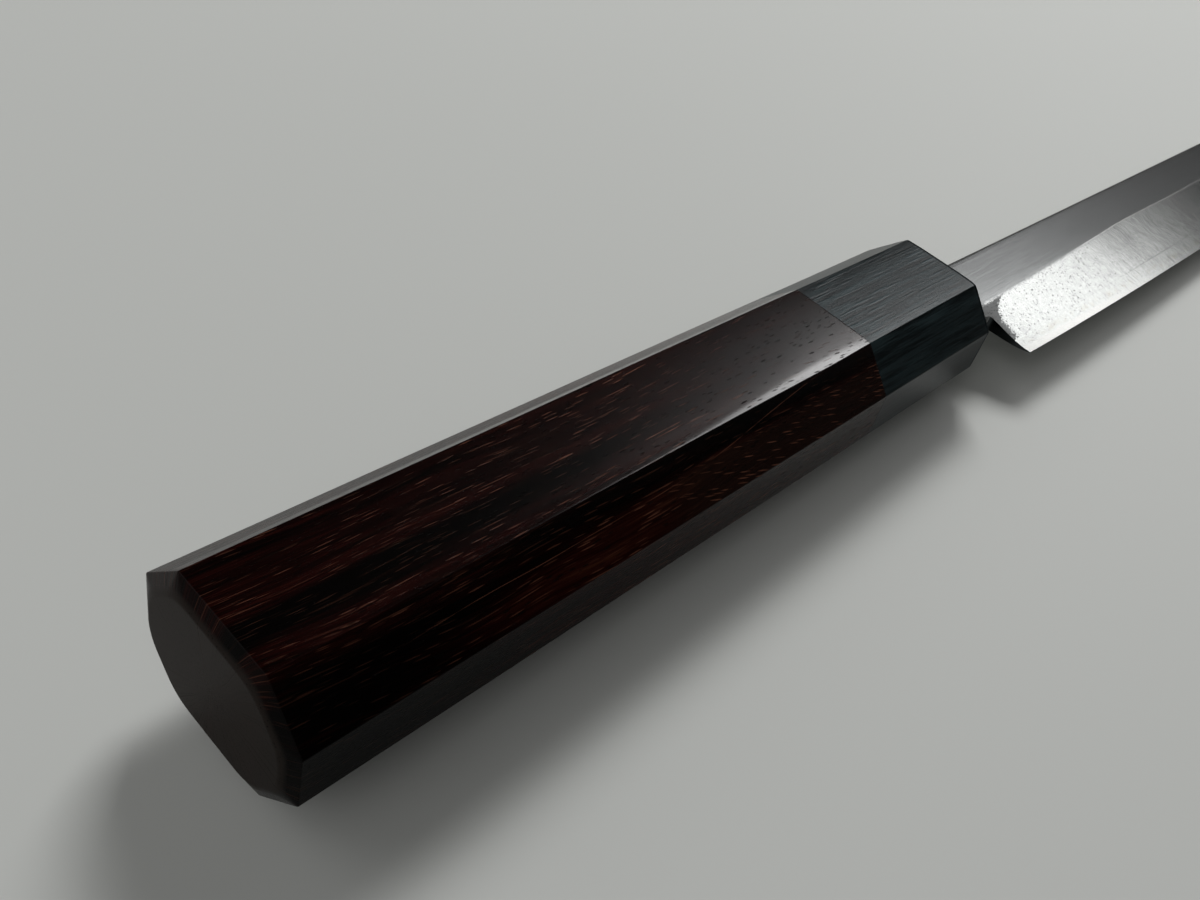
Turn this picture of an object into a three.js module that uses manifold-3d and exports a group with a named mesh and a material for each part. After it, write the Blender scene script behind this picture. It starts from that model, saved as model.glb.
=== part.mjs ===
// A Japanese slicing knife with an octagonal wooden handle, lying on its left side on a table.
// Millimetres, +Z up. The knife is built straight along its handle axis: +X runs from the butt
// to the tip, +Y points to the spine, -Y to the cutting edge, and x = 0 is the butt's end face.
// It is then laid down as it rests by itself, on the ferrule's lower front edge and on its tip.
import * as THREE from 'three';
import { mergeVertices } from 'three/addons/utils/BufferGeometryUtils.js';
import Module from 'manifold-3d';

const wasm = await Module();
wasm.setup();

// Handle: an octagon that narrows evenly from the butt to the front of the ferrule
const HANDLE_LENGTH = 135;
const BUTT_HEIGHT = 28.3;
const BUTT_THICKNESS = 21.4;
const BUTT_WIDE_FLAT = 15.4;
const BUTT_NARROW_FLAT = 8.25;
const FRONT_HEIGHT = 25.7;
const FRONT_THICKNESS = 19.43;
const FRONT_WIDE_FLAT = 13.98;
const FRONT_NARROW_FLAT = 7.49;
const BUTT_CHAMFER_DEPTH = 1.1;
const BUTT_CHAMFER_INSET = 2.2;

// Ferrule: a horn cap with a wall at the front that the tang passes through
const FERRULE_LENGTH = 31.7;
const FERRULE_FRONT_WALL = 6;
const FERRULE_EDGE_ROUND = 0.6;

// Dowel that joins ferrule and grip, and is slotted for the tang
const DOWEL_DIAMETER = 13;
const DOWEL_END_WALL = 6;
const DOWEL_END_CHAMFER = 0.8;

// Blade seen from the side, measured from the front of the ferrule
const BLADE_LENGTH = 210;
const HEEL_REACH = 10.4;
const SPINE_RISE = 4.13;
const SPINE_DROP_DEGREES = 0.7;
const BLADE_HEIGHT = 21.95;
const HEEL_HEIGHT = 21.35;
const BELLY_REACH = 65;
const BELLY_CURVE = 2;
const TIP_CURVE = 3;
const TIP_HEIGHT = 0.7;
const NECK_HEIGHT = 12.9;
const NECK_FILLET = 1;
const CHIN_LEAN_DEGREES = 14;

// Blade in section: one flat face, one long bevel, and a shallow hollow in the back
const NECK_THICKNESS = 3.6;
const TIP_THICKNESS = 1.3;
const FLAT_WIDTH_HEEL = 10.6;
const FLAT_WIDTH_BELLY = 8.9;
const BEVEL_RUN_OUT = 7;
const EDGE_LAND = 0.15;
const STEEL_LAYER_NECK = 1.1;
const STEEL_LAYER_TIP = 0.5;
const STEEL_START = 1.5;
const HOLLOW_DEPTH = 0.35;
const HOLLOW_RIM = 1.7;
const HOLLOW_RIM_LIMIT = 0.25;

// Stick tang, tapering from the mouth of the ferrule to its blunt end in the dowel
const TANG_LENGTH = 78;
const TANG_MOUTH_HEIGHT = 8;
const TANG_MOUTH_THICKNESS = 3.3;
const TANG_MOUTH_RISE = -1;
const TANG_END_HEIGHT = 4.4;
const TANG_END_THICKNESS = 2.4;

// Fits: the filler bonds the tang into its slot, and every glued or welded seam stays open a hair
const FILLER_WALL = 0.7;
const FIT_GAP = 0.15;
const WELD_GAP = 0.05;

// Fineness of the facets
const ROUND_SIDES = 32;
const EDGE_STEPS = 4;
const FILLET_STEPS = 8;
const HOLLOW_STEPS = 4;
const NECK_STATIONS = 8;
const BLADE_STATIONS = 30;

// Places that follow from the sizes above
const JOINT_X = HANDLE_LENGTH - FERRULE_LENGTH;
const HEEL_X = HANDLE_LENGTH + HEEL_REACH;
const TIP_X = HEEL_X + BLADE_LENGTH;
const BELLY_X = HANDLE_LENGTH + BELLY_REACH;
const BACK_Z = -NECK_THICKNESS / 2;
const NECK_LOW_Y = SPINE_RISE - NECK_HEIGHT;
const STEEL_START_X = HANDLE_LENGTH + STEEL_START;
const FILLER_GROWTH = FIT_GAP + FILLER_WALL;
const SLOT_GROWTH = FILLER_GROWTH + FIT_GAP;
const DOWEL_FRONT_X = HANDLE_LENGTH - FERRULE_FRONT_WALL - FIT_GAP;
const DOWEL_BACK_X = HANDLE_LENGTH - TANG_LENGTH - SLOT_GROWTH - DOWEL_END_WALL;
const CUT_MARGIN = 5;

const { lerp, degToRad } = THREE.MathUtils;

// A closed solid through a row of rings that have the same number of points each
function loft(rings) {
  const sides = rings[0].length;
  const positions = rings.flat().flatMap((point) => point.toArray());
  const triangles = [];
  for (let ring = 0; ring < rings.length - 1; ring += 1) {
    for (let side = 0; side < sides; side += 1) {
      const here = ring * sides + side;
      const next = ring * sides + ((side + 1) % sides);
      triangles.push(here, next, next + sides, here, next + sides, here + sides);
    }
  }
  const cap = (ring) => {
    const outline = ring.map((point) => new THREE.Vector2(point.y, point.z));
    const faces = THREE.ShapeUtils.triangulateShape(outline, []).flat();
    return THREE.ShapeUtils.isClockWise(outline) ? faces.toReversed() : faces;
  };
  const lastStart = (rings.length - 1) * sides;
  triangles.push(...cap(rings[0]).toReversed());
  triangles.push(...cap(rings.at(-1)).map((corner) => corner + lastStart));
  return closed(positions, triangles);
}

// Merges equal corners, drops flattened triangles and turns the faces outwards
function closed(positions, triangles) {
  const loose = new THREE.BufferGeometry();
  loose.setAttribute('position', new THREE.Float32BufferAttribute(positions, 3));
  loose.setIndex(triangles);
  const geometry = mergeVertices(loose);
  const corners = geometry.index.array;
  const place = geometry.attributes.position;
  const corner = (index) => new THREE.Vector3().fromBufferAttribute(place, index);
  const kept = [];
  let volume = 0;
  for (let start = 0; start < corners.length; start += 3) {
    const [a, b, c] = corners.slice(start, start + 3);
    if (a !== b && b !== c && c !== a) {
      kept.push([a, b, c]);
      volume += corner(a).dot(corner(b).cross(corner(c)));
    }
  }
  const facing = volume < 0 ? kept.map(([a, b, c]) => [a, c, b]) : kept;
  geometry.setIndex(facing.flat());
  return geometry;
}

// Between three.js geometry and solids that can be joined and cut
function solidOf(geometry) {
  const bare = geometry.clone();
  bare.deleteAttribute('normal');
  bare.deleteAttribute('uv');
  const merged = mergeVertices(bare);
  const mesh = new wasm.Mesh({
    numProp: 3,
    vertProperties: new Float32Array(merged.attributes.position.array),
    triVerts: new Uint32Array(merged.index.array),
  });
  return new wasm.Manifold(mesh);
}

function geometryOf(solid) {
  const mesh = solid.getMesh();
  const geometry = new THREE.BufferGeometry();
  geometry.setAttribute('position', new THREE.BufferAttribute(mesh.vertProperties, mesh.numProp));
  geometry.setIndex(new THREE.BufferAttribute(mesh.triVerts, 1));
  geometry.computeVertexNormals();
  return geometry;
}

// Octagon of the handle at a place along its axis, drawn in by an even inset
function handleRing(x, inset = 0) {
  const along = (x - BUTT_CHAMFER_DEPTH) / (HANDLE_LENGTH - BUTT_CHAMFER_DEPTH);
  const halfHeight = lerp(BUTT_HEIGHT, FRONT_HEIGHT, along) / 2;
  const halfThickness = lerp(BUTT_THICKNESS, FRONT_THICKNESS, along) / 2;
  const halfWide = lerp(BUTT_WIDE_FLAT, FRONT_WIDE_FLAT, along) / 2;
  const halfNarrow = lerp(BUTT_NARROW_FLAT, FRONT_NARROW_FLAT, along) / 2;
  const run = halfHeight - halfWide;
  const fall = halfThickness - halfNarrow;
  const slant = Math.hypot(run, fall);
  const y = halfHeight - inset;
  const z = halfThickness - inset;
  const wide = halfWide + inset * (run - slant) / fall;
  const narrow = halfNarrow + inset * (fall - slant) / run;
  const outline = [[wide, z], [-wide, z], [-y, narrow], [-y, -narrow]];
  const opposite = outline.map(([across, up]) => [-across, -up]);
  return [...outline, ...opposite].map(([across, up]) => new THREE.Vector3(x, across, up));
}

// Rod along the handle axis between two places
function rod(diameter, startX, endX, chamfer = 0) {
  const radius = diameter / 2;
  const length = endX - startX;
  const profile = [[0, 0], [radius - chamfer, 0]];
  if (chamfer > 0) {
    profile.push([radius, chamfer], [radius, length - chamfer]);
  }
  profile.push([radius - chamfer, length], [0, length]);
  const points = profile.map(([across, along]) => new THREE.Vector2(across, along));
  const geometry = new THREE.LatheGeometry(points, ROUND_SIDES);
  geometry.rotateZ(-Math.PI / 2);
  geometry.translate(startX, 0, 0);
  geometry.deleteAttribute('normal');
  geometry.deleteAttribute('uv');
  return closed([...geometry.attributes.position.array], [...geometry.index.array]);
}

// Tang, or the same shape grown all round to make the filler and the slot, from a place in front
function tangShape(frontX, growth = 0) {
  const endX = HANDLE_LENGTH - TANG_LENGTH;
  const ring = (x, atX) => {
    const along = (HANDLE_LENGTH - atX) / TANG_LENGTH;
    const halfHeight = lerp(TANG_MOUTH_HEIGHT, TANG_END_HEIGHT, along) / 2 + growth;
    const halfThickness = lerp(TANG_MOUTH_THICKNESS, TANG_END_THICKNESS, along) / 2 + growth;
    const middle = lerp(TANG_MOUTH_RISE, 0, along);
    const corners = [[1, 1], [-1, 1], [-1, -1], [1, -1]];
    return corners.map(([up, side]) => {
      return new THREE.Vector3(x, middle + up * halfHeight, side * halfThickness);
    });
  };
  return loft([ring(endX - growth, endX), ring(frontX, frontX)]);
}

// Sizes of the blade at a place along it
function bladeAt(x) {
  const along = THREE.MathUtils.clamp((x - HANDLE_LENGTH) / (TIP_X - HANDLE_LENGTH), 0, 1);
  const toHeel = (BELLY_X - x) / (BELLY_X - HEEL_X);
  const toTip = Math.min((x - BELLY_X) / (TIP_X - BELLY_X), 1);
  const heelLoss = (BLADE_HEIGHT - HEEL_HEIGHT) * toHeel ** BELLY_CURVE;
  const tipLoss = (BLADE_HEIGHT - TIP_HEIGHT) * toTip ** TIP_CURVE;
  const height = BLADE_HEIGHT - (x < BELLY_X ? heelLoss : tipLoss);
  const flatShare = lerp(
    FLAT_WIDTH_BELLY / BLADE_HEIGHT,
    FLAT_WIDTH_HEEL / HEEL_HEIGHT,
    THREE.MathUtils.clamp(toHeel, 0, 1),
  );
  const runOut = THREE.MathUtils.smoothstep(HEEL_X - x, 0, BEVEL_RUN_OUT);
  const flat = lerp(flatShare * height, Math.max(flatShare * height, NECK_HEIGHT + EDGE_LAND), runOut);
  const spineY = SPINE_RISE - Math.tan(degToRad(SPINE_DROP_DEGREES)) * (x - HANDLE_LENGTH);
  const topZ = BACK_Z + lerp(NECK_THICKNESS, TIP_THICKNESS, along);
  const seamZ = BACK_Z + lerp(STEEL_LAYER_NECK, STEEL_LAYER_TIP, along);
  const edgeY = spineY - height;
  const ridgeY = spineY - flat;
  const bevelY = (z) => lerp(edgeY, ridgeY, (z - BACK_Z - EDGE_LAND) / (topZ - BACK_Z - EDGE_LAND));
  return { height, spineY, topZ, seamZ, edgeY, ridgeY, bevelY };
}

// Places of the blade's sections: even at the neck, then closer together towards the tip
function stations(startX) {
  const neck = Array.from({ length: NECK_STATIONS }, (_, i) => lerp(startX, HEEL_X, i / NECK_STATIONS));
  const body = Array.from({ length: BLADE_STATIONS + 1 }, (_, i) => {
    return lerp(HEEL_X, TIP_X, Math.sin(i / BLADE_STATIONS * Math.PI / 2));
  });
  return [...neck, ...body];
}

function ringAt(x, outline) {
  return outline.map(([y, z]) => new THREE.Vector3(x, y, z));
}

// Section of the iron where it has the whole thickness, at the neck
function neckSection(x) {
  const { spineY, topZ, edgeY, ridgeY } = bladeAt(x);
  const landZ = BACK_Z + EDGE_LAND;
  return ringAt(x, [[spineY, topZ], [spineY, BACK_Z], [edgeY, BACK_Z], [edgeY, landZ], [ridgeY, topZ]]);
}

// Section of the iron above the steel; one corner is doubled to match the neck's section
function ironSection(x) {
  const { spineY, topZ, seamZ, ridgeY, bevelY } = bladeAt(x);
  const seam = [bevelY(seamZ), seamZ];
  return ringAt(x, [[spineY, topZ], [spineY, seamZ], seam, seam, [ridgeY, topZ]]);
}

// Section of the steel, with the shallow hollow between two flat rims on the back
function steelSection(x) {
  const { height, spineY, seamZ, edgeY, bevelY } = bladeAt(x);
  const seamLowZ = seamZ - WELD_GAP;
  const rim = Math.min(HOLLOW_RIM, height * HOLLOW_RIM_LIMIT);
  const depth = HOLLOW_DEPTH * height / BLADE_HEIGHT;
  const hollow = Array.from({ length: HOLLOW_STEPS + 1 }, (_, i) => {
    const across = i / HOLLOW_STEPS;
    const bow = Math.sin(across * Math.PI);
    return [lerp(spineY - rim, edgeY + rim, across), BACK_Z + depth * bow];
  });
  return ringAt(x, [
    [spineY, seamLowZ],
    [spineY, BACK_Z],
    ...hollow,
    [edgeY, BACK_Z],
    [edgeY, BACK_Z + EDGE_LAND],
    [bevelY(seamLowZ), seamLowZ],
  ]);
}

// What is cut away under the neck and behind the leaning chin, with a round inner corner
function chinCutter() {
  const heelY = bladeAt(HEEL_X).edgeY;
  const lean = Math.tan(degToRad(CHIN_LEAN_DEGREES));
  const cornerX = HEEL_X - lean * (NECK_LOW_Y - heelY);
  const lowY = heelY - CUT_MARGIN;
  const backX = HANDLE_LENGTH - CUT_MARGIN;
  const outline = new THREE.Shape();
  outline.moveTo(backX, NECK_LOW_Y);
  outline.lineTo(cornerX - NECK_FILLET, NECK_LOW_Y);
  outline.quadraticCurveTo(cornerX, NECK_LOW_Y, cornerX + lean * NECK_FILLET, NECK_LOW_Y - NECK_FILLET);
  outline.lineTo(HEEL_X + lean * CUT_MARGIN, lowY);
  outline.lineTo(backX, lowY);
  outline.closePath();
  const depth = NECK_THICKNESS + 2 * CUT_MARGIN;
  const geometry = new THREE.ExtrudeGeometry(outline, {
    depth,
    bevelEnabled: false,
    curveSegments: FILLET_STEPS,
  });
  geometry.translate(0, 0, -depth / 2);
  return solidOf(geometry);
}

function bladeIron() {
  const startX = HANDLE_LENGTH + FIT_GAP;
  const seamX = STEEL_START_X - WELD_GAP;
  const rings = [neckSection(startX), neckSection(seamX), ...stations(seamX).map(ironSection)];
  const blade = solidOf(loft(rings)).subtract(chinCutter());
  const tang = solidOf(tangShape((startX + seamX) / 2));
  return geometryOf(blade.add(tang));
}

function bladeEdgeSteel() {
  const blade = solidOf(loft(stations(STEEL_START_X).map(steelSection)));
  return geometryOf(blade.subtract(chinCutter()));
}

function ferrule() {
  const round = FERRULE_EDGE_ROUND;
  const rings = [handleRing(JOINT_X + WELD_GAP)];
  for (let step = 0; step <= EDGE_STEPS; step += 1) {
    const angle = step / EDGE_STEPS * Math.PI / 2;
    const x = HANDLE_LENGTH - round + round * Math.sin(angle);
    rings.push(handleRing(x, round - round * Math.cos(angle)));
  }
  const socketEnd = HANDLE_LENGTH - FERRULE_FRONT_WALL;
  const socket = rod(DOWEL_DIAMETER + 2 * FIT_GAP, JOINT_X - CUT_MARGIN, socketEnd);
  const slot = tangShape(HANDLE_LENGTH + CUT_MARGIN, SLOT_GROWTH);
  return geometryOf(solidOf(loft(rings)).subtract(solidOf(socket)).subtract(solidOf(slot)));
}

function grip() {
  const butt = handleRing(BUTT_CHAMFER_DEPTH, BUTT_CHAMFER_INSET).map((point) => point.setX(0));
  const body = solidOf(loft([butt, handleRing(BUTT_CHAMFER_DEPTH), handleRing(JOINT_X)]));
  const bore = rod(DOWEL_DIAMETER + 2 * FIT_GAP, DOWEL_BACK_X - FIT_GAP, JOINT_X + CUT_MARGIN);
  const slot = tangShape(HANDLE_LENGTH + CUT_MARGIN, SLOT_GROWTH);
  return geometryOf(body.subtract(solidOf(bore)).subtract(solidOf(slot)));
}

function dowel() {
  const body = solidOf(rod(DOWEL_DIAMETER, DOWEL_BACK_X, DOWEL_FRONT_X, DOWEL_END_CHAMFER));
  return geometryOf(body.subtract(solidOf(tangShape(HANDLE_LENGTH + CUT_MARGIN, SLOT_GROWTH))));
}

function tangFiller() {
  const outside = solidOf(tangShape(HANDLE_LENGTH, FILLER_GROWTH));
  return geometryOf(outside.subtract(solidOf(tangShape(HANDLE_LENGTH + CUT_MARGIN, FIT_GAP))));
}

function piece(name, geometry, color, roughness, metalness) {
  const material = new THREE.MeshStandardMaterial({ color, roughness, metalness, flatShading: true });
  const mesh = new THREE.Mesh(geometry, material);
  mesh.name = name;
  return mesh;
}

const knife = new THREE.Group();
knife.add(
  piece('blade_iron', bladeIron(), 0x8a8d8c, 0.42, 1),
  piece('blade_edge_steel', bladeEdgeSteel(), 0xb9bbb6, 0.3, 1),
  piece('ferrule', ferrule(), 0x17191a, 0.35, 0),
  piece('grip', grip(), 0x3a1512, 0.34, 0),
  piece('dowel', dowel(), 0xc9a878, 0.7, 0),
  piece('tang_filler', tangFiller(), 0x2a2520, 0.6, 0),
);

// Laid down: turned until the ferrule's lower front edge and the tip are level
const ferruleRestX = HANDLE_LENGTH - FERRULE_EDGE_ROUND;
const ferruleRestZ = handleRing(ferruleRestX).reduce((low, point) => Math.min(low, point.z), 0);
knife.rotation.y = Math.atan2(BACK_Z - ferruleRestZ, TIP_X - ferruleRestX);

// Origin on the table, under the middle of the knife's box
const box = new THREE.Box3().setFromObject(knife, true);
const middle = box.getCenter(new THREE.Vector3());
knife.position.set(-middle.x, -middle.y, -box.min.z);

const part = new THREE.Group();
part.add(knife);

export default part;
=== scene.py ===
# %% [markdown]
# A single-bevel slicing knife with an octagonal handle lies on its left side on a table. The
# imported solids give every place and size. This lesson lays finer surfaces over four of them, the
# grip, the ferrule and the two layers of the blade, and gives each material the marks that the
# real one shows, with some highlights and shade painted into the colour. The two pieces inside
# the handle keep their solids and only get a finish.

# %% Open the imported frame
import math

import bpy
import numpy as np
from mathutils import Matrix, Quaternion, Vector


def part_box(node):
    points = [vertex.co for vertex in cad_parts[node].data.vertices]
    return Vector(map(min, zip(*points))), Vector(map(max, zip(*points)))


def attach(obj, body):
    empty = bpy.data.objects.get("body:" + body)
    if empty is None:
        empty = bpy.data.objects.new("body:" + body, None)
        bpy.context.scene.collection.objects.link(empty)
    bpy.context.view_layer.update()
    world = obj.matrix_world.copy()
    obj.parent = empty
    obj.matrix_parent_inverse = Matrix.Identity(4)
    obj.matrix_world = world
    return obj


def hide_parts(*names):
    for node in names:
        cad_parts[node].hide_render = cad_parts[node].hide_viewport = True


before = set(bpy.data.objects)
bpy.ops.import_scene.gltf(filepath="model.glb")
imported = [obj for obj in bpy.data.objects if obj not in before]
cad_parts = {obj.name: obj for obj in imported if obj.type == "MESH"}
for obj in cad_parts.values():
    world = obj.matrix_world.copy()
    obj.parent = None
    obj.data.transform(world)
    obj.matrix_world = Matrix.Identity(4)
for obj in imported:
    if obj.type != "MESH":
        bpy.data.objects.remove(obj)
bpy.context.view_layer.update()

# %% [markdown]
# The knife is measured straight along its handle, in millimetres: x runs from the butt to the
# tip, y points to the spine and z stands up from the flat face. These are the sizes the solids
# are made from, so the finer surfaces fall on them without any fitting.

# %% Measures of the handle and the blade
MM = 0.001
HANDLE_LENGTH = 135.0
BUTT_SIZES = np.array([28.3, 21.4, 15.4, 8.25]) / 2
FRONT_SIZES = np.array([25.7, 19.43, 13.98, 7.49]) / 2
BUTT_CHAMFER_DEPTH = 1.1
BUTT_CHAMFER_INSET = 2.2
FERRULE_LENGTH = 31.7
JOINT_X = HANDLE_LENGTH - FERRULE_LENGTH
FERRULE_FRONT_WALL = 6.0
FERRULE_EDGE_ROUND = 0.6
BORE_RADIUS = 6.65
HEEL_GAP, BLADE_LENGTH, BELLY_GAP = 10.4, 210.0, 65.0
HEEL_X = HANDLE_LENGTH + HEEL_GAP
TIP_X = HEEL_X + BLADE_LENGTH
BELLY_X = HANDLE_LENGTH + BELLY_GAP
NECK_THICKNESS = 3.6
BACK_Z = -NECK_THICKNESS / 2
TANG_LENGTH, TANG_DROP = 78.0, 1.0
TANG_SIZES, TANG_LOSSES = np.array([8.0, 3.3]), np.array([3.6, 0.9])
print("knife of", round(TIP_X), "mm with its heel at", round(HEEL_X, 1), "mm")

# %% [markdown]
# A knife put down on a table rests on two points, the lower front edge of the ferrule and the
# tip, so its axis dips a little towards the tip. One function turns straight millimetres into the
# resting place in metres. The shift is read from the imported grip, so it is never typed twice.

# %% The way the knife lies
def handle_sizes(x):
    """Half height, half thickness and half flats, wide and narrow, in an even taper."""
    along = (np.asarray(x, float) - BUTT_CHAMFER_DEPTH) / (HANDLE_LENGTH - BUTT_CHAMFER_DEPTH)
    return BUTT_SIZES + along[..., None] * (FRONT_SIZES - BUTT_SIZES)


def octagon(x, inset):
    """Eight corners at each x, as (across, up), after every side has moved inwards by the inset."""
    height, thickness, wide, narrow = np.moveaxis(handle_sizes(x), -1, 0)
    run, fall = height - wide, thickness - narrow
    slant = np.hypot(run, fall)
    y, z = height - inset, thickness - inset
    wide = wide + inset * (run - slant) / fall
    narrow = narrow + inset * (fall - slant) / run
    corners = ((wide, z), (-wide, z), (-y, narrow), (-y, -narrow))
    half = np.stack([np.stack(pair, -1) for pair in corners], 1)
    return np.concatenate([half, -half], 1)


def as_vectors(x, outline):
    """Puts a row of (across, up) outlines at their places along the knife."""
    place = np.broadcast_to(np.asarray(x, float)[:, None, None], outline.shape[:2] + (1,))
    return np.concatenate([place, outline], -1)


rest_x = HANDLE_LENGTH - FERRULE_EDGE_ROUND
rest_z = -handle_sizes(rest_x)[1]
rest_tilt = math.atan2(BACK_Z - rest_z, TIP_X - rest_x)


def turn_to_rest(points, tilt=rest_tilt):
    """Turns points about the cross axis by a tilt: x and z mix, y stays."""
    x, y, z = np.moveaxis(np.asarray(points, float), -1, 0)
    cos, sin = math.cos(tilt), math.sin(tilt)
    return np.stack([x * cos + z * sin, y, z * cos - x * sin], -1)


outline_x = np.array([0.0, BUTT_CHAMFER_DEPTH, JOINT_X])
outline = octagon(outline_x, np.array([BUTT_CHAMFER_INSET, 0.0, 0.0]))
outline = as_vectors(outline_x, outline)
knife_place = np.array(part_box("grip")[0]) - turn_to_rest(outline).reshape(-1, 3).min(0) * MM


def lay_down(points):
    """Straight millimetres to resting metres: a turn about the cross axis, then a shift."""
    return turn_to_rest(points) * MM + knife_place


print("resting tilt in degrees:", round(math.degrees(rest_tilt), 4), "place:", knife_place.round(6))

# %% [markdown]
# Every piece here is a skin of rings: a grid whose columns run round the piece and whose rows run
# along it. A row that shrinks to one place makes a closed end, and a row that follows itself back
# to the start makes a tube. Corners that share a place are welded, so seams and poles are closed.

# %% From rings to a closed mesh
WELD_STEP = 1e-7
CREASE_DEGREES = 32.0


def ring_faces(rows, columns, wrapped):
    """Two triangles for each cell of a grid: the columns run round, and the rows too if wrapped."""
    row = np.arange(rows if wrapped else rows - 1)[:, None]
    column = np.arange(columns)[None, :]
    here, there = row * columns, (row + 1) % rows * columns
    right = (column + 1) % columns
    a, b, c, d = here + column, here + right, there + right, there + column
    return np.concatenate([np.stack([a, b, c], -1), np.stack([a, c, d], -1)]).reshape(-1, 3)


def weld(points, faces):
    """Keeps one corner for each place, drops flattened triangles and turns the rest outwards."""
    keys = np.round(points / WELD_STEP).astype(np.int64)
    _, first, joined = np.unique(keys, axis=0, return_index=True, return_inverse=True)
    faces = joined.reshape(-1)[faces]
    kept = (faces != np.roll(faces, 1, 1)).all(1)
    faces = faces[kept]
    a, b, c = np.moveaxis(points[first][faces], 1, 0)
    inside_out = np.einsum("ij,ij->", a, np.cross(b, c)) < 0
    return first, faces[:, ::-1] if inside_out else faces


def make_piece(name, node, rings, wrapped=False, marks=None):
    """Lays rings down as one closed mesh with marks as attributes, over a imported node."""
    points = lay_down(rings).reshape(-1, 3)
    first, faces = weld(points, ring_faces(rings.shape[0], rings.shape[1], wrapped))
    mesh = bpy.data.meshes.new(name)
    mesh.from_pydata(points[first].tolist(), [], faces.tolist())
    mesh.polygons.foreach_set("use_smooth", np.ones(len(faces), bool))
    mesh.set_sharp_from_angle(angle=math.radians(CREASE_DEGREES))
    for mark, values in (marks or {}).items():
        layer = mesh.attributes.new(mark, "FLOAT", "POINT")
        layer.data.foreach_set("value", values.reshape(-1)[first].astype(np.float32))
    mesh.update()
    piece = bpy.data.objects.new(name, mesh)
    bpy.context.scene.collection.objects.link(piece)
    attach(piece, "root")
    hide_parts(node)
    print(name, "has", len(first), "corners and", len(faces), "triangles")
    return piece


# %% [markdown]
# A handle like this is planed flat by hand and then polished, so its eight flats are a trace
# fuller in the middle and its edges are softened. Each ring is the octagon with a small curve at
# each corner and a slight swell on each flat. The palm has worn the upper edge on the near side:
# near the ferrule the top falls away in a shallow curve before it meets the slope.

# %% Rings of the handle
CORNER_STEPS = np.linspace(0, 1, 9)
FLAT_STEPS = np.array([
    0.012, 0.04, 0.09, 0.17, 0.28, 0.4, 0.52, 0.64, 0.75, 0.82, 0.866, 0.90, 0.93, 0.957, 0.982,
])
SIDE_POINTS = len(CORNER_STEPS) + len(FLAT_STEPS)
EDGE_SOFT = 0.32
CORNER_LIMIT = 0.42
INSET_SOFT = 2.6
WOOD_SWELL, HORN_SWELL = 0.03, 0.12
SWELL_FROM, SWELL_FULL = 96.0, 116.0
HAND_WAVE = 0.035
SHORT_WAVE, LONG_WAVE, WAVE_SHIFT = 7.3, 12.9, 1.1
TOP, WORN = 0, 1
WORN_DEPTH, WORN_POWER = 0.24, 4
WORN_REACH_BUTT, WORN_REACH = 0.9, 1.8
WORN_FROM, WORN_FULL = 30.0, 99.0
WORN_STOP, WORN_GONE = 92.0, 105.0
WORN_LEFT = 0.25


def smooth(low, high, value):
    """A smooth step: 0 below low, 1 above high, and a cubic 3t^2 - 2t^3 between."""
    t = np.clip((value - low) / (high - low), 0, 1)
    return t * t * (3 - 2 * t)


def between(start, end, share):
    """From start to end as the share runs from 0 to 1."""
    return start + (end - start) * share


def quadratic(t, start, corner, end):
    """(1-t)^2 start + 2t(1-t) corner + t^2 end: it leaves and arrives along a corner's sides."""
    return (1 - t) ** 2 * start + 2 * t * (1 - t) * corner + t**2 * end


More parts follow.
